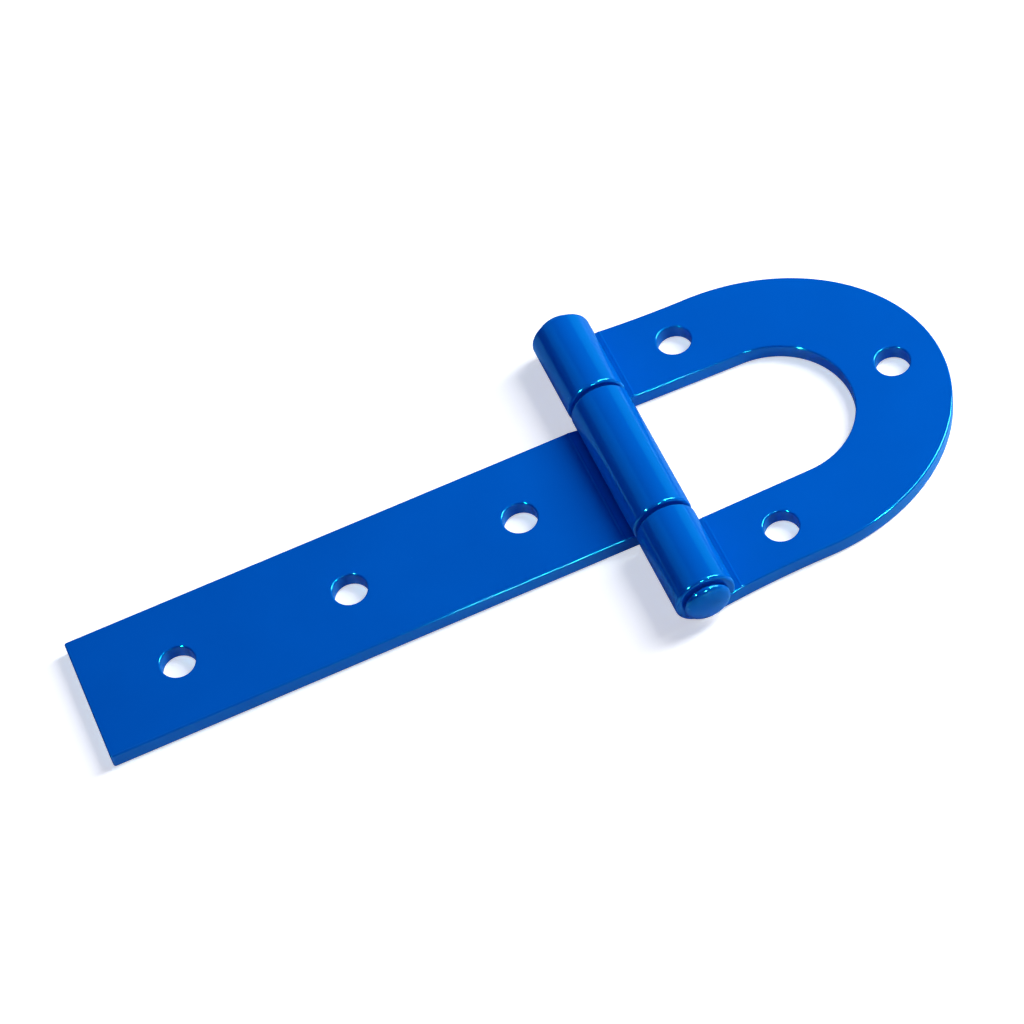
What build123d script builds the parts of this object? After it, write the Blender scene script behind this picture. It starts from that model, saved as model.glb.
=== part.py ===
from build123d import *
import os
from math import pi

# Gate hinge lying flat and opened out: a strap leaf and a horseshoe leaf, both
# cut from the same plate and rolled round one headed pin.
# The pin runs along Y above the origin, the strap points to -X, the horseshoe
# to +X, and both backs lie on the plane Z = 0.

# Plate, pin and rolled knuckles
sheet = 5.0
edge_softening = 0.4
pin_diameter = 7.0
pin_clearance = 0.05
knuckle_gap = 1.3
knuckle_spread = 1.6
curl_sweep = 290.0
curl_edge_softening = 0.8
crease_reach = 10.6
die_mark_depth = 0.5
die_mark_width = 6.0

# Strap leaf
strap_width = 40.0
strap_reach = 158.6
strap_first_hole = 33.2
strap_hole_pitch = 49.7
strap_hole_count = 3
strap_corner_rounding = 0.7

# Horseshoe leaf
leaf_half_width = 49.3
crown_half_width = 47.0
crown_length = 54.7
crown_centre = 36.6
slot_end_radius = 22.0
slot_end = 64.3
leg_hole_x = 28.0
leg_hole_y = 35.2
crown_hole_x = 77.9

# Screw holes, the same in both leaves
hole_diameter = 9.6
hole_rim_softening = 0.3

# Headed pin
head_diameter = 13.0
head_stand_off = 0.7
head_height = 2.3
head_dome = 1.3
head_rim_softening = 0.45

# Sizes that follow from the ones above
bore_radius = pin_diameter / 2 + pin_clearance
axis_height = bore_radius + sheet
centre_knuckle_length = strap_width + 2 * knuckle_spread
slot_half_width = centre_knuckle_length / 2 + knuckle_gap
end_knuckle_length = leaf_half_width - slot_half_width
end_knuckle_middle = (leaf_half_width + slot_half_width) / 2
head_underside = leaf_half_width + head_stand_off
pin_half_length = head_underside + head_height
head_rim = pin_half_length - head_dome
strap_hole_places = [(-strap_first_hole - row * strap_hole_pitch, 0) for row in range(strap_hole_count)]
horseshoe_hole_places = [(leg_hole_x, leg_hole_y), (leg_hole_x, -leg_hole_y), (crown_hole_x, 0)]

os.makedirs("parts", exist_ok=True)


def rolled_knuckle(side, length):
    """Plate that leaves the floor under the pin, curls up and over it, and stops
    just above its own leaf's top face; centred on Y = 0."""
    with BuildPart() as rolled:
        with BuildLine(Plane.XZ) as course:
            CenterArc((0, axis_height), bore_radius + sheet / 2, -90, -side * curl_sweep)
        with BuildSketch(Plane(origin=(0, 0, sheet / 2), x_dir=(0, 1, 0), z_dir=(-side, 0, 0))) as section:
            Rectangle(length, sheet)
            chamfer(section.vertices(), curl_edge_softening)
        sweep(path=course.wires()[0])
    return rolled.part


def die_mark(side, length):
    """Shallow three-sided trough pressed into the top face beside the curl."""
    with BuildPart() as trough:
        with BuildSketch(Plane.XZ):
            with Locations((side * (crease_reach - die_mark_width / 2), sheet)):
                Polygon((-die_mark_width / 2, 0), (0, -die_mark_depth), (die_mark_width / 2, 0), align=None)
        extrude(amount=length / 2, both=True)
    return trough.part


# Strap leaf: flat bar with a row of three holes, rolled at one end; the rolling
# spreads the knuckle a little wider than the bar
with BuildPart() as strap_leaf:
    with BuildSketch():
        Rectangle(strap_reach, strap_width, align=(Align.MAX, Align.CENTER))
    extrude(amount=sheet)
    fillet(strap_leaf.edges().filter_by(Axis.Z).group_by(Axis.X)[0], strap_corner_rounding)
    outline = strap_leaf.faces().filter_by(Axis.Z).edges()
    chamfer(outline.filter_by(lambda edge: edge.center().X < -edge_softening), edge_softening)
    with BuildSketch():
        with Locations(*strap_hole_places):
            Circle(hole_diameter / 2)
    extrude(amount=sheet, mode=Mode.SUBTRACT)
    rims = strap_leaf.faces().filter_by(Axis.Z).edges().filter_by(GeomType.CIRCLE)
    chamfer(rims.filter_by(lambda rim: rim.is_closed), hole_rim_softening)
    add(die_mark(-1, centre_knuckle_length), mode=Mode.SUBTRACT)
    add(rolled_knuckle(-1, centre_knuckle_length))

# Slot of the horseshoe: narrows a little from the knuckles to its round end
with BuildSketch() as slot:
    with Locations((slot_end - slot_end_radius, 0)):
        Circle(slot_end_radius)
    Rectangle(edge_softening, 2 * slot_half_width)
    make_hull()

# Horseshoe leaf: oval-ended plate, flared towards the knuckles, with the slot
# that clears the strap
with BuildPart() as horseshoe_leaf:
    with BuildSketch():
        with BuildLine():
            Line((0, -leaf_half_width), (0, leaf_half_width))
            TangentArc((crown_centre, crown_half_width), (0, leaf_half_width), tangent=(-1, 0))
            EllipticalCenterArc((crown_centre, 0), crown_length, crown_half_width, start_angle=-90, arc_size=180)
            TangentArc((crown_centre, -crown_half_width), (0, -leaf_half_width), tangent=(-1, 0))
        make_face()
        add(slot.sketch, mode=Mode.SUBTRACT)
    extrude(amount=sheet)
    outline = horseshoe_leaf.faces().filter_by(Axis.Z).edges()
    chamfer(outline.filter_by(lambda edge: edge.center().X > edge_softening), edge_softening)
    with BuildSketch():
        with Locations(*horseshoe_hole_places):
            Circle(hole_diameter / 2)
    extrude(amount=sheet, mode=Mode.SUBTRACT)
    rims = horseshoe_leaf.faces().filter_by(Axis.Z).edges().filter_by(GeomType.CIRCLE)
    chamfer(rims.filter_by(lambda rim: rim.is_closed), hole_rim_softening)
    add(die_mark(1, 2 * pin_half_length), mode=Mode.SUBTRACT)
    with Locations((0, end_knuckle_middle, 0), (0, -end_knuckle_middle, 0)):
        add(rolled_knuckle(1, end_knuckle_length))

# Hinge pin: plain shank with a low domed head standing off each end knuckle
with BuildPart() as hinge_pin:
    with BuildSketch(Plane.YZ):
        with BuildLine():
            Polyline(
                (head_rim, axis_height + head_diameter / 2),
                (head_underside, axis_height + head_diameter / 2),
                (head_underside, axis_height + pin_diameter / 2),
                (0, axis_height + pin_diameter / 2),
                (0, axis_height),
                (pin_half_length, axis_height),
            )
            TangentArc((pin_half_length, axis_height), (head_rim, axis_height + head_diameter / 2), tangent=(0, 1))
        make_face()
    revolve(axis=Axis((0, 0, axis_height), (0, 1, 0)))
    rim_edges = hinge_pin.edges().filter_by(lambda edge: edge.length > pi * (head_diameter - head_rim_softening))
    fillet(rim_edges, head_rim_softening)
    mirror(about=Plane.XZ)

strap_leaf.part.label = "strap_leaf"
horseshoe_leaf.part.label = "horseshoe_leaf"
hinge_pin.part.label = "hinge_pin"

export_step(strap_leaf.part, "parts/strap_leaf.step")
export_step(horseshoe_leaf.part, "parts/horseshoe_leaf.step")
export_step(hinge_pin.part, "parts/hinge_pin.step")
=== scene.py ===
import bmesh
import bpy
from math import atan2, cos, degrees, hypot, pi, radians, sin, sqrt
from mathutils import Matrix, Vector


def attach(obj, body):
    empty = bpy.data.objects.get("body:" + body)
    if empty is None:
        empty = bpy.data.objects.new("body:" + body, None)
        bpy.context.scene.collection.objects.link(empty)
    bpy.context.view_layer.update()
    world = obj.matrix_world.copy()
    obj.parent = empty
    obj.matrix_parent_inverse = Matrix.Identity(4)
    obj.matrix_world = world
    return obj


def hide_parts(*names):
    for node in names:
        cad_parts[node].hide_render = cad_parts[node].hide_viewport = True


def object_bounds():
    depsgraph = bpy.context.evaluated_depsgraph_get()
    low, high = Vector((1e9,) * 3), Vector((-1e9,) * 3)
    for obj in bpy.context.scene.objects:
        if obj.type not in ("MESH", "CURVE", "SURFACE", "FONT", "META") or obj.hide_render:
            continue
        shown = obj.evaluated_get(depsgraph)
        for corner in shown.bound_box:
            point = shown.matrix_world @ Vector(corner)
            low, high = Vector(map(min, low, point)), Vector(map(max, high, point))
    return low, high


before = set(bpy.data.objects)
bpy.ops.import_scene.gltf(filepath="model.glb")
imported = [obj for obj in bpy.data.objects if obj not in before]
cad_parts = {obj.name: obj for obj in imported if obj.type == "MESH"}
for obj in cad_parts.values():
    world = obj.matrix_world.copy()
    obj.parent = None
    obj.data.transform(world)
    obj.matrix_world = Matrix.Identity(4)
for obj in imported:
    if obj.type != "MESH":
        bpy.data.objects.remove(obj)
cad_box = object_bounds()

# Gate hinge lying flat and opened out: a strap leaf towards -X and a horseshoe
# leaf towards +X, both rolled round one headed pin along Y.
# Sizes of the hinge are in millimetres, the same as in the part's source.
MM = 0.001

# Plate, pin and rolled knuckles
SHEET = 5.0
PIN_RADIUS = 3.5
PIN_CLEARANCE = 0.05
KNUCKLE_GAP = 1.3
KNUCKLE_SPREAD = 1.6
CURL_SWEEP = 290.0
CREASE_REACH = 10.6
DIE_MARK_DEPTH = 0.5
DIE_MARK_WIDTH = 6.0

# Strap leaf
STRAP_HALF_WIDTH = 20.0
STRAP_REACH = 158.6
STRAP_FIRST_HOLE = 33.2
STRAP_HOLE_PITCH = 49.7
STRAP_HOLE_COUNT = 3
STRAP_CORNER = 0.7

# Horseshoe leaf
LEAF_HALF_WIDTH = 49.3
CROWN_HALF_WIDTH = 47.0
CROWN_LENGTH = 54.7
CROWN_CENTRE = 36.6
SLOT_END_RADIUS = 22.0
SLOT_END = 64.3
LEG_HOLE_X = 28.0
LEG_HOLE_Y = 35.2
CROWN_HOLE_X = 77.9

# Screw holes, the same in both leaves
HOLE_RADIUS = 4.8

# Headed pin
HEAD_RADIUS = 6.5
HEAD_STAND_OFF = 0.7
HEAD_HEIGHT = 2.3

# Finish of the pieces: worn edges, domed heads, and the die mark with its bead
EDGE_ROUNDING = 0.5
KNUCKLE_ROUNDING = 0.85
TIP_ROUNDING = 0.5
HEAD_DOME = 1.9
HEAD_BACK_ROUNDING = 0.2
DIE_MARK_HOLLOW = 1.3
BEAD_HEIGHT = 0.12
BEAD_HALF_WIDTH = 0.5

# Sizes that follow from the ones above
BORE_RADIUS = PIN_RADIUS + PIN_CLEARANCE
AXIS_HEIGHT = BORE_RADIUS + SHEET
CENTRE_KNUCKLE_END = STRAP_HALF_WIDTH + KNUCKLE_SPREAD
SLOT_HALF_WIDTH = CENTRE_KNUCKLE_END + KNUCKLE_GAP
HEAD_UNDERSIDE = LEAF_HALF_WIDTH + HEAD_STAND_OFF
HEAD_TOP = HEAD_UNDERSIDE + HEAD_HEIGHT
STRAP_HOLES = [(-STRAP_FIRST_HOLE - row * STRAP_HOLE_PITCH, 0.0) for row in range(STRAP_HOLE_COUNT)]
HORSESHOE_HOLES = [(LEG_HOLE_X, LEG_HOLE_Y), (LEG_HOLE_X, -LEG_HOLE_Y), (CROWN_HOLE_X, 0.0)]

# Fineness of the curves, in straight steps, apart from the plates' rounded edges
EDGE_FINENESS = 3
FLARE_STEPS = 12
CROWN_STEPS = 128
SLOT_STEPS = 96
HOLE_STEPS = 72
CORNER_STEPS = 5
RIM_STEPS = 6
CURL_STEPS = 120
TIP_STEPS = 4
DIE_MARK_STEPS = 10
BEAD_STEPS = 8
TURNING_STEPS = 96
DOME_STEPS = 18
HEAD_BACK_STEPS = 4

# How the meshes are joined: a plate reaches a little under its knuckle, the even
# part of a curl stops some degrees before its end, and points closer than the
# two small distances become one
PLATE_OVERLAP = 1.2
TIP_SWEEP = 4.0
PLATE_WELD = 0.002
FINE_WELD = 0.0005

# Shading: edges over this angle stay sharp, and elsewhere a point takes the
# direction of the largest face on it, where those within a square millimetre
# of each other count alike
SHARP_ANGLE = 35.0
LARGEST_FACE_ONLY = 100
SAME_AREA = 1.0

# Paint on all three pieces, with its colour from the deepest to the brightest
LEAF_COLOURS = ((0.0, 0.112, 0.56), (0.0, 0.122, 0.6))
PIN_COLOURS = ((0.0, 0.106, 0.54), (0.0, 0.116, 0.58))
PAINT_FINISH = {
    "IOR": 2.4,
    "Sheen Weight": 0.25,
    "Sheen Roughness": 0.4,
    "Sheen Tint": (0.0, 0.6, 1.0, 1),
    "Specular Tint": (0.0, 0.7, 0.9, 1),
    "Coat Weight": 0.14,
    "Coat Roughness": 0.03,
}
PAINT_ROUGHNESS = (0.05, 0.13)
FULL_RANGE = (0.0, 1.0)
NOISE_RANGE = (0.3, 0.7)
CLOUD_SCALE = 35.0
CLOUD_DETAIL = 3.0
SMEAR_SCALE = 90.0
SMEAR_DETAIL = 4.0
# Paler tone on the ridges: thin paint there, and a painted highlight along the edges
RIDGE_WEAR_AND_HIGHLIGHT_COLOUR = (0.03, 0.22, 0.72)
RIDGE_POINTINESS = (0.53, 0.62)
RIDGE_SHARE = (0.0, 0.35)
# Specks: raised dust nibs, with a paler colour as a painted glint on each
SPECK_GLINT_COLOUR = (0.05, 0.3, 0.8)
SPECK_SCALE = 260.0
SPECK_RIM_TO_MIDDLE = (0.05, 0.0)
SPECK_PATCH_SCALE = 420.0
SPECK_PATCH_DETAIL = 0.0
SPECK_PATCHES = (0.66, 0.70)
SPECK_RELIEF = 0.6
SPECK_HEIGHT = 0.1
PEEL_SCALE = 700.0
PEEL_DETAIL = 1.0
PEEL_RELIEF = 0.06
PEEL_HEIGHT = 0.05

# Floor: half its side in metres, its middle and its drop under the part in
# millimetres, its colours, and the glow, which grows with the distance in metres
# so that the shadow beside the hinge stays
FLOOR_REACH = 6.0
FLOOR_CENTRE = -34.0
FLOOR_DROP = 0.05
FLOOR_ROUGHNESS = 0.6
FLOOR_SEEN = (0.75, 0.75, 0.75)
FLOOR_FOR_LIGHT = (0.1, 0.36, 0.72)
GLOW_STRETCH = (1, 1.8, 0)
GLOW_DISTANCE = (0.1, 0.28)
GLOW_STRENGTH = (0.54, 0.95)
GLOW_IN_GLOSS = 0.04
WHITE = (1.0, 1.0, 1.0)

# World: dim on the left, brighter on the right, and there mostly near the horizon
WORLD_STRENGTH = 1.0
WORLD_LEFT = (0.01, 0.022, 0.155)
WORLD_RIGHT = (0.06, 0.6, 0.9)
WORLD_TURN = (0.15, 0.55)
HORIZON_RISE = (0.2, 0.5)
HORIZON_LIGHT = (0.28, 0.05)

# Lamps, all turned to the origin: name, place, width, height, power, colour
LAMPS = (
    ("key", (0.84, 0.1, 0.85), 0.3, 0.85, 18.4, WHITE),
    ("shoulder", (0.62, 0.15, 1.15), 0.7, 0.7, 0.8, WHITE),
    ("right", (0.83, 0.6, 0.3), 0.9, 0.6, 0.6, (0.12, 0.95, 0.9)),
    ("back", (-0.62, 0.62, 0.75), 0.6, 0.6, 0.36, (0.1, 0.45, 1.0)),
)

# Small lamps that only show in the gloss of the paint: name, place, size, power
GLINTS = (
    ("left glint", (-0.768, -0.426, 0.811), 0.12, 24.0),
    ("right glint", (0.583, -0.451, 0.944), 0.1, 10.0),
    ("front glint", (0.13, -1.1, 0.5), 0.16, 5.0),
)

# Camera: angles in degrees, distance and target in millimetres, focal length in
# pixels of a frame that is 1024 wide
CAMERA_AZIMUTH = -11.625
CAMERA_ELEVATION = 54.393
CAMERA_ROLL = -13.289
CAMERA_DISTANCE = 949.753
CAMERA_TARGET = (-33.651, 6.233, 0)
CAMERA_FOCAL = 3500.675
CAMERA_CLIP = 20.0
FRAME_WIDTH = 1024
SENSOR_WIDTH = 36.0


# Outlines

def arc_points(centre, radius_x, radius_y, start, end, count):
    """Points on an ellipse's arc, in degrees, both ends included."""
    points = []
    for i in range(count + 1):
        angle = radians(start + (end - start) * i / count)
        points.append((centre[0] + radius_x * cos(angle), centre[1] + radius_y * sin(angle)))
    return points


def flare_points():
    """Edge of a leg from the crown's widest place to the knuckle, on one arc."""
    rise = LEAF_HALF_WIDTH - CROWN_HALF_WIDTH
    radius = (CROWN_CENTRE ** 2 + rise ** 2) / (2 * rise)
    points = []
    for i in range(1, FLARE_STEPS + 1):
        x = CROWN_CENTRE * (1 - i / FLARE_STEPS)
        drop = CROWN_CENTRE - x
        points.append((x, CROWN_HALF_WIDTH + radius - sqrt(radius ** 2 - drop ** 2)))
    return points


def horseshoe_outline():
    """Oval crown and two flared legs, and back along the slot, whose sides touch its round end."""
    flare = flare_points()
    outer = [(-PLATE_OVERLAP, -LEAF_HALF_WIDTH)]
    outer += [(x, -y) for x, y in reversed(flare)]
    outer += arc_points((CROWN_CENTRE, 0), CROWN_LENGTH, CROWN_HALF_WIDTH, -90, 90, CROWN_STEPS)
    outer += flare
    outer.append((-PLATE_OVERLAP, LEAF_HALF_WIDTH))
    centre = SLOT_END - SLOT_END_RADIUS
    reach = hypot(centre, SLOT_HALF_WIDTH)
    to_corner = atan2(SLOT_HALF_WIDTH, -centre)
    touch = degrees(to_corner - atan2(sqrt(reach ** 2 - SLOT_END_RADIUS ** 2), SLOT_END_RADIUS))
    inner = [(-PLATE_OVERLAP, SLOT_HALF_WIDTH), (0, SLOT_HALF_WIDTH)]
    inner += arc_points((centre, 0), SLOT_END_RADIUS, SLOT_END_RADIUS, touch, -touch, SLOT_STEPS)
    inner += [(0, -SLOT_HALF_WIDTH), (-PLATE_OVERLAP, -SLOT_HALF_WIDTH)]
    return outer + inner


def strap_outline():
    """Long bar with two small round corners at its far end."""
    far = -STRAP_REACH + STRAP_CORNER
    edge = STRAP_HALF_WIDTH - STRAP_CORNER
    outline = [(PLATE_OVERLAP, STRAP_HALF_WIDTH)]
    outline += arc_points((far, edge), STRAP_CORNER, STRAP_CORNER, 90, 180, CORNER_STEPS)
    outline += arc_points((far, -edge), STRAP_CORNER, STRAP_CORNER, 180, 270, CORNER_STEPS)
    outline.append((PLATE_OVERLAP, -STRAP_HALF_WIDTH))
    return outline


# Plates

def new_object(name, data):
    thing = bpy.data.objects.new(name, data)
    bpy.context.scene.collection.objects.link(thing)
    return thing


def plate(outline, holes):
    """Flat plate with rounded edges and holes, its back on the plane Z = 0."""
    curve = bpy.data.curves.new("plate", "CURVE")
    curve.dimensions = "2D"
    curve.fill_mode = "BOTH"
    curve.extrude = (SHEET / 2 - EDGE_ROUNDING) * MM
    curve.bevel_depth = EDGE_ROUNDING * MM
    curve.bevel_resolution = EDGE_FINENESS
    curve.offset = -EDGE_ROUNDING * MM
    loops = [outline]
    for hole in holes:
        loops.append(arc_points(hole, HOLE_RADIUS, HOLE_RADIUS, 0, 360, HOLE_STEPS)[:-1])
    for loop in loops:
        spline = curve.splines.new("POLY")
        spline.points.add(len(loop) - 1)
        for point, (x, y) in zip(spline.points, loop):
            point.co = (x * MM, y * MM, 0, 1)
        spline.use_cyclic_u = True
    shape = new_object("plate", curve)
    graph = bpy.context.evaluated_depsgraph_get()
    mesh = bpy.data.meshes.new_from_object(shape.evaluated_get(graph))
    bpy.data.objects.remove(shape)
    built = bmesh.new()
    built.from_mesh(mesh)
    bmesh.ops.remove_doubles(built, verts=built.verts, dist=PLATE_WELD * MM)
    bmesh.ops.translate(built, verts=built.verts, vec=(0, 0, SHEET / 2 * MM))
    bmesh.ops.recalc_face_normals(built, faces=built.faces)
    return built


def die_mark_height(reach):
    """Height over the top face at a distance from the pin: a trough with a fine bead on its outer edge."""
    middle = CREASE_REACH - DIE_MARK_WIDTH / 2
    across = abs(reach - middle) / (DIE_MARK_WIDTH / 2)
    height = -DIE_MARK_DEPTH * max(0.0, 1 - across) ** DIE_MARK_HOLLOW
    beside = abs(reach - CREASE_REACH) / BEAD_HALF_WIDTH
    if beside < 1:
        height += BEAD_HEIGHT * (1 + cos(pi * beside)) / 2
    return height


def press_die_mark(built, side):
    """Shallow trough in the top face, parallel to the pin, where the die held the plate."""
    start = CREASE_REACH - DIE_MARK_WIDTH
    inner = CREASE_REACH - BEAD_HALF_WIDTH
    cuts = [start + i / DIE_MARK_STEPS * (inner - start) for i in range(DIE_MARK_STEPS)]
    cuts += [inner + i / BEAD_STEPS * 2 * BEAD_HALF_WIDTH for i in range(BEAD_STEPS + 1)]
    for cut in cuts:
        geometry = built.verts[:] + built.edges[:] + built.faces[:]
        place = (side * cut * MM, 0, 0)
        bmesh.ops.bisect_plane(built, geom=geometry, dist=FINE_WELD * MM, plane_co=place, plane_no=(1, 0, 0))
    for vert in built.verts:
        reach = side * vert.co.x / MM
        if start < reach < CREASE_REACH + BEAD_HALF_WIDTH and vert.co.z > SHEET / 2 * MM:
            vert.co.z += die_mark_height(reach) * MM


# Knuckles and pin

def round_the_pin(distance, place, angle):
    """Point in metres at a distance from the pin's axis, a place along it and an angle round it."""
    return (distance * cos(angle) * MM, place * MM, (AXIS_HEIGHT + distance * sin(angle)) * MM)


def knuckle_section(low, high):
    """Outline of the rolled plate's section: (distance from the pin's axis, place along the pin)."""
    near = BORE_RADIUS + KNUCKLE_ROUNDING
    far = AXIS_HEIGHT - KNUCKLE_ROUNDING
    bottom = low + KNUCKLE_ROUNDING
    top = high - KNUCKLE_ROUNDING
    corners = [(far, top), (near, top), (near, bottom), (far, bottom)]
    section = []
    for quarter, centre in enumerate(corners):
        start = 90 * quarter
        section += arc_points(centre, KNUCKLE_ROUNDING, KNUCKLE_ROUNDING, start, start + 90, RIM_STEPS)
    return section


def knuckle_stations():
    """Where the section stands along the curl, in degrees, and how far it shrinks at the rounded tip."""
    even = CURL_SWEEP - TIP_SWEEP
    stations = [(even * i / CURL_STEPS, 0.0) for i in range(CURL_STEPS + 1)]
    for step in range(TIP_STEPS + 1):
        turn = radians(90 * step / TIP_STEPS)
        back = degrees(TIP_ROUNDING * (1 - sin(turn)) / AXIS_HEIGHT)
        stations.append((CURL_SWEEP - back, TIP_ROUNDING * (1 - cos(turn))))
    return stations


def knuckle(side, low, high):
    """Rolled end of a leaf between two places along the pin."""
    section = knuckle_section(low, high)
    middle = ((BORE_RADIUS + AXIS_HEIGHT) / 2, (low + high) / 2)
    half = ((AXIS_HEIGHT - BORE_RADIUS) / 2, (high - low) / 2)
    built = bmesh.new()
    rings = []
    for sweep, inset in knuckle_stations():
        angle = radians(-90 - side * sweep)
        ring = []
        for distance, place in section:
            distance = middle[0] + (distance - middle[0]) * (1 - inset / half[0])
            place = middle[1] + (place - middle[1]) * (1 - inset / half[1])
            ring.append(built.verts.new(round_the_pin(distance, place, angle)))
        rings.append(ring)
    count = len(section)
    for first, second in zip(rings, rings[1:]):
        for i in range(count):
            j = (i + 1) % count
            built.faces.new((first[i], first[j], second[j], second[i]))
    built.faces.new(rings[0])
    built.faces.new(rings[-1])
    bmesh.ops.remove_doubles(built, verts=built.verts, dist=FINE_WELD * MM)
    bmesh.ops.recalc_face_normals(built, faces=built.faces)
    return built


def turned_pin():
    """Shank with a domed head at each end, turned about the pin's axis."""
    profile = [(0.0, HEAD_TOP)]
    profile += arc_points((0, HEAD_TOP - HEAD_DOME), HEAD_RADIUS, HEAD_DOME, 90, 0, DOME_STEPS)[1:]
    back = (HEAD_RADIUS - HEAD_BACK_ROUNDING, HEAD_UNDERSIDE + HEAD_BACK_ROUNDING)
    profile += arc_points(back, HEAD_BACK_ROUNDING, HEAD_BACK_ROUNDING, 0, -90, HEAD_BACK_STEPS)
    profile.append((PIN_RADIUS, HEAD_UNDERSIDE))
    profile += [(radius, -place) for radius, place in reversed(profile)]
    built = bmesh.new()
    rings = []
    for radius, place in profile:
        steps = TURNING_STEPS if radius > 0 else 1
        ring = []
        for i in range(steps):
            ring.append(built.verts.new(round_the_pin(radius, place, 2 * pi * i / TURNING_STEPS)))
        rings.append(ring)
    for first, second in zip(rings, rings[1:]):
        for i in range(TURNING_STEPS):
            j = i + 1
            corners = [first[i % len(first)], first[j % len(first)]]
            corners += [second[j % len(second)], second[i % len(second)]]
            built.faces.new(list(dict.fromkeys(corners)))
    bmesh.ops.recalc_face_normals(built, faces=built.faces)
    return built


# Pieces from their shapes

def to_object(name, built):
    mesh = bpy.data.meshes.new(name)
    built.to_mesh(mesh)
    built.free()
    return new_object(name, mesh)


def united(name, shapes):
    """One closed mesh from several that overlap."""
    base = to_object(name, shapes[0])
    others = [to_object("other", shape) for shape in shapes[1:]]
    for other in others:
        union = base.modifiers.new("union", "BOOLEAN")
        union.operation = "UNION"
        union.solver = "EXACT"
        union.object = other
    graph = bpy.context.evaluated_depsgraph_get()
    mesh = bpy.data.meshes.new_from_object(base.evaluated_get(graph))
    mesh.name = name
    base.modifiers.clear()
    base.data = mesh
    for other in others:
        bpy.data.objects.remove(other)
    return base


def shade(thing):
    """Smooth shading in which the large faces stay flat and the small ones beside them turn."""
    mesh = thing.data
    mesh.shade_smooth()
    mesh.set_sharp_from_angle(angle=radians(SHARP_ANGLE))
    weighted = thing.modifiers.new("weighted_normals", "WEIGHTED_NORMAL")
    weighted.mode = "FACE_AREA"
    weighted.weight = LARGEST_FACE_ONLY
    weighted.thresh = SAME_AREA * MM ** 2
    weighted.keep_sharp = True


# Materials

class Shading:
    """Nodes of a material or the world, with a short call for each kind that is used more than once."""

    def __init__(self, owner):
        owner.use_nodes = True
        self.nodes = owner.node_tree.nodes
        self.links = owner.node_tree.links

    def feed(self, socket, value):
        """Link another node's output to a socket, or set a value or colour on it."""
        if isinstance(value, bpy.types.NodeSocket):
            self.links.new(value, socket)
        elif isinstance(value, tuple):
            socket.default_value = (*value, 1)
        else:
            socket.default_value = value

    def noise(self, place, scale, detail):
        node = self.nodes.new("ShaderNodeTexNoise")
        node.inputs["Scale"].default_value = scale
        node.inputs["Detail"].default_value = detail
        self.links.new(place, node.inputs["Vector"])
        return node.outputs["Fac"]

    def spread(self, value, given, wanted, ease="LINEAR"):
        """A given range of a value mapped to the wanted one, and held at its ends."""
        node = self.nodes.new("ShaderNodeMapRange")
        node.interpolation_type = ease
        node.inputs["From Min"].default_value = given[0]
        node.inputs["From Max"].default_value = given[1]
        node.inputs["To Min"].default_value = wanted[0]
        node.inputs["To Max"].default_value = wanted[1]
        self.links.new(value, node.inputs["Value"])
        return node.outputs["Result"]

    def mixed(self, share, first, second):
        """The first colour, with a share of the second."""
        node = self.nodes.new("ShaderNodeMix")
        node.data_type = "RGBA"
        self.links.new(share, node.inputs["Factor"])
        self.feed(node.inputs["A"], first)
        self.feed(node.inputs["B"], second)
        return node.outputs["Result"]

    def arithmetic(self, operation, *values):
        """Result of one sum, product or the like of two or three values."""
        node = self.nodes.new("ShaderNodeMath")
        node.operation = operation
        for socket, value in zip(node.inputs, values):
            self.feed(socket, value)
        return node.outputs["Value"]

    def relief(self, height, strength, distance):
        node = self.nodes.new("ShaderNodeBump")
        node.inputs["Strength"].default_value = strength
        node.inputs["Distance"].default_value = distance * MM
        self.links.new(height, node.inputs["Height"])
        return node


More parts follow.
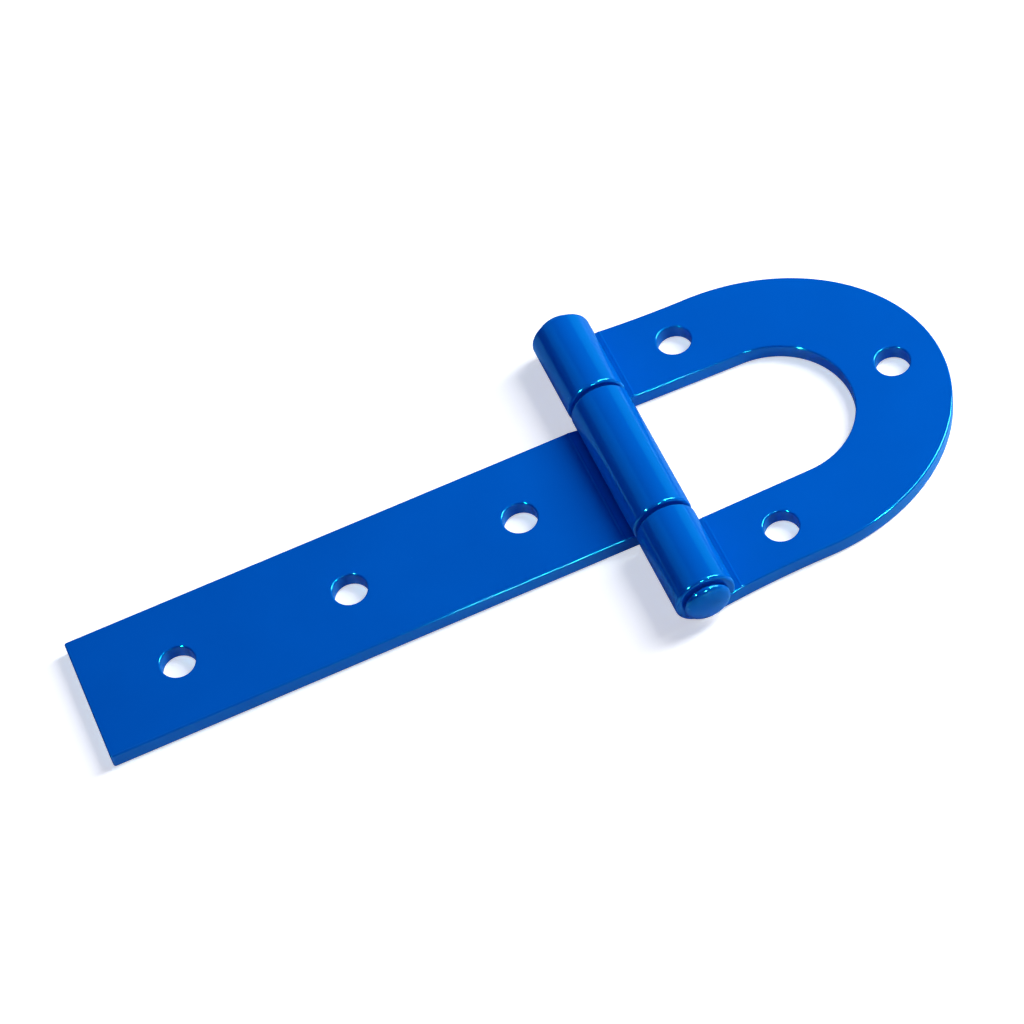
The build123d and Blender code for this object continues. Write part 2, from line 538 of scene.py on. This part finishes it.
def paint(name, deep, bright):
    """Semi-gloss paint on steel, with a fine orange peel, soft variation, a paler tone on the ridges that is
    partly a painted highlight, and a few specks with painted glints.
    """
    material = bpy.data.materials.new(name)
    tree = Shading(material)
    shader = tree.nodes["Principled BSDF"]
    for socket, value in PAINT_FINISH.items():
        shader.inputs[socket].default_value = value
    place = tree.nodes.new("ShaderNodeTexCoord").outputs["Object"]

    # Soft clouds in the colour, and a paler tone on the ridges: partly thin paint there, partly a painted
    # highlight along the edges
    cloud = tree.spread(tree.noise(place, CLOUD_SCALE, CLOUD_DETAIL), NOISE_RANGE, FULL_RANGE)
    colour = tree.mixed(cloud, deep, bright)
    pointiness = tree.nodes.new("ShaderNodeNewGeometry").outputs["Pointiness"]
    ridge_wear_and_highlight = tree.spread(pointiness, RIDGE_POINTINESS, RIDGE_SHARE)
    colour = tree.mixed(ridge_wear_and_highlight, colour, RIDGE_WEAR_AND_HIGHLIGHT_COLOUR)

    # Specks: nibs of dust under the paint, in a few patches, raised by a bump and coloured paler as painted
    # glints
    dust = tree.nodes.new("ShaderNodeTexVoronoi")
    dust.inputs["Scale"].default_value = SPECK_SCALE
    tree.links.new(place, dust.inputs["Vector"])
    nib = tree.spread(dust.outputs["Distance"], SPECK_RIM_TO_MIDDLE, FULL_RANGE)
    patch = tree.spread(tree.noise(place, SPECK_PATCH_SCALE, SPECK_PATCH_DETAIL), SPECK_PATCHES, FULL_RANGE)
    nib_and_glint = tree.arithmetic("MULTIPLY", nib, patch)
    tree.links.new(tree.mixed(nib_and_glint, colour, SPECK_GLINT_COLOUR), shader.inputs["Base Color"])

    # Gloss that varies a little, and the relief of the peel under that of the specks
    smear = tree.spread(tree.noise(place, SMEAR_SCALE, SMEAR_DETAIL), NOISE_RANGE, PAINT_ROUGHNESS)
    tree.links.new(smear, shader.inputs["Roughness"])
    peel = tree.relief(tree.noise(place, PEEL_SCALE, PEEL_DETAIL), PEEL_RELIEF, PEEL_HEIGHT)
    nibs = tree.relief(nib_and_glint, SPECK_RELIEF, SPECK_HEIGHT)
    tree.links.new(peel.outputs["Normal"], nibs.inputs["Normal"])
    tree.links.new(nibs.outputs["Normal"], shader.inputs["Normal"])
    return material


def floor_paint():
    """Pale glowing floor for the camera; other rays meet a blue tint, and glossy ones a faint glow."""
    material = bpy.data.materials.new("floor_white")
    tree = Shading(material)
    shader = tree.nodes["Principled BSDF"]
    shader.inputs["Roughness"].default_value = FLOOR_ROUGHNESS
    shader.inputs["Emission Color"].default_value = (*WHITE, 1)
    rays = tree.nodes.new("ShaderNodeLightPath")
    straight = tree.arithmetic("MAXIMUM", rays.outputs["Is Camera Ray"], rays.outputs["Is Transmission Ray"])
    tree.links.new(tree.mixed(straight, FLOOR_FOR_LIGHT, FLOOR_SEEN), shader.inputs["Base Color"])
    stretched = tree.nodes.new("ShaderNodeVectorMath")
    stretched.operation = "MULTIPLY"
    stretched.inputs[1].default_value = GLOW_STRETCH
    tree.links.new(tree.nodes.new("ShaderNodeTexCoord").outputs["Object"], stretched.inputs[0])
    away = tree.nodes.new("ShaderNodeVectorMath")
    away.operation = "LENGTH"
    tree.links.new(stretched.outputs["Vector"], away.inputs[0])
    glow = tree.spread(away.outputs["Value"], GLOW_DISTANCE, GLOW_STRENGTH, "SMOOTHSTEP")
    share = tree.arithmetic("MULTIPLY_ADD", rays.outputs["Is Glossy Ray"], GLOW_IN_GLOSS, straight)
    tree.links.new(tree.arithmetic("MULTIPLY", glow, share), shader.inputs["Emission Strength"])
    return material


# The three pieces

leaf_paint = paint("blue_paint", *LEAF_COLOURS)
pin_paint = paint("pin_paint", *PIN_COLOURS)

strap_plate = plate(strap_outline(), STRAP_HOLES)
press_die_mark(strap_plate, -1)
strap = united("strap", [strap_plate, knuckle(-1, -CENTRE_KNUCKLE_END, CENTRE_KNUCKLE_END)])

horseshoe_plate = plate(horseshoe_outline(), HORSESHOE_HOLES)
press_die_mark(horseshoe_plate, 1)
horseshoe = united("horseshoe", [
    horseshoe_plate,
    knuckle(1, SLOT_HALF_WIDTH, LEAF_HALF_WIDTH),
    knuckle(1, -LEAF_HALF_WIDTH, -SLOT_HALF_WIDTH),
])

pin = to_object("pin", turned_pin())

for thing, body, node, material in (
    (strap, "strap", "strap_leaf", leaf_paint),
    (horseshoe, "horseshoe", "horseshoe_leaf", leaf_paint),
    (pin, "horseshoe", "hinge_pin", pin_paint),
):
    shade(thing)
    thing.data.materials.clear()
    thing.data.materials.append(material)
    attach(thing, body)
    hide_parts(node)

# Floor

corners = [(x * FLOOR_REACH, y * FLOOR_REACH, 0) for x, y in ((-1, -1), (1, -1), (1, 1), (-1, 1))]
floor_mesh = bpy.data.meshes.new("floor")
floor_mesh.from_pydata(corners, [], [range(len(corners))])
floor = new_object("floor", floor_mesh)
floor.location = (FLOOR_CENTRE * MM, 0, cad_box[0][2] - FLOOR_DROP * MM)
floor.data.materials.append(floor_paint())


# World and lamps

def add_world():
    """World that is white to the camera and tinted for the light and the gloss."""
    world = bpy.data.worlds.new("studio")
    bpy.context.scene.world = world
    tree = Shading(world)
    rays = tree.nodes.new("ShaderNodeLightPath")
    straight = tree.arithmetic("MAXIMUM", rays.outputs["Is Camera Ray"], rays.outputs["Is Transmission Ray"])
    direction = tree.nodes.new("ShaderNodeSeparateXYZ")
    tree.links.new(tree.nodes.new("ShaderNodeTexCoord").outputs["Generated"], direction.inputs["Vector"])
    right = tree.nodes.new("ShaderNodeVectorMath")
    right.operation = "SCALE"
    right.inputs[0].default_value = WORLD_RIGHT
    horizon = tree.spread(direction.outputs["Z"], HORIZON_RISE, HORIZON_LIGHT, "SMOOTHSTEP")
    tree.links.new(horizon, right.inputs["Scale"])
    turn = tree.spread(direction.outputs["X"], WORLD_TURN, FULL_RANGE, "SMOOTHSTEP")
    sides = tree.mixed(turn, WORLD_LEFT, right.outputs["Vector"])
    background = tree.nodes["Background"]
    background.inputs["Strength"].default_value = WORLD_STRENGTH
    tree.links.new(tree.mixed(straight, sides, WHITE), background.inputs["Color"])


def add_lamp(name, place, width, height, power, colour):
    light = bpy.data.lights.new(name, "AREA")
    light.shape = "RECTANGLE"
    light.size = width
    light.size_y = height
    light.energy = power
    light.color = colour
    thing = new_object(name, light)
    thing.location = place
    thing.rotation_euler = (-Vector(place)).to_track_quat("-Z", "Y").to_euler()
    return thing


add_world()
for lamp in LAMPS:
    add_lamp(*lamp)
for name, place, size, power in GLINTS:
    add_lamp(name, place, size, size, power, WHITE).visible_diffuse = False


# Camera at the photograph's angle

def add_camera():
    azimuth = radians(CAMERA_AZIMUTH)
    elevation = radians(CAMERA_ELEVATION)
    roll = radians(CAMERA_ROLL)
    back = Vector((sin(azimuth) * cos(elevation), -cos(azimuth) * cos(elevation), sin(elevation)))
    level_right = Vector((cos(azimuth), sin(azimuth), 0))
    level_up = back.cross(level_right)
    right = level_right * cos(roll) + level_up * sin(roll)
    up = level_up * cos(roll) - level_right * sin(roll)
    lens = bpy.data.cameras.new("camera")
    lens.sensor_width = SENSOR_WIDTH
    lens.lens = SENSOR_WIDTH * CAMERA_FOCAL / FRAME_WIDTH
    lens.clip_end = CAMERA_CLIP
    camera = new_object("camera", lens)
    place = Vector(CAMERA_TARGET) * MM + back * CAMERA_DISTANCE * MM
    camera.matrix_world = Matrix((
        (right.x, up.x, back.x, place.x),
        (right.y, up.y, back.y, place.y),
        (right.z, up.z, back.z, place.z),
        (0, 0, 0, 1),
    ))
    return camera


bpy.context.scene.camera = add_camera()
bpy.context.scene.view_settings.view_transform = "Standard"
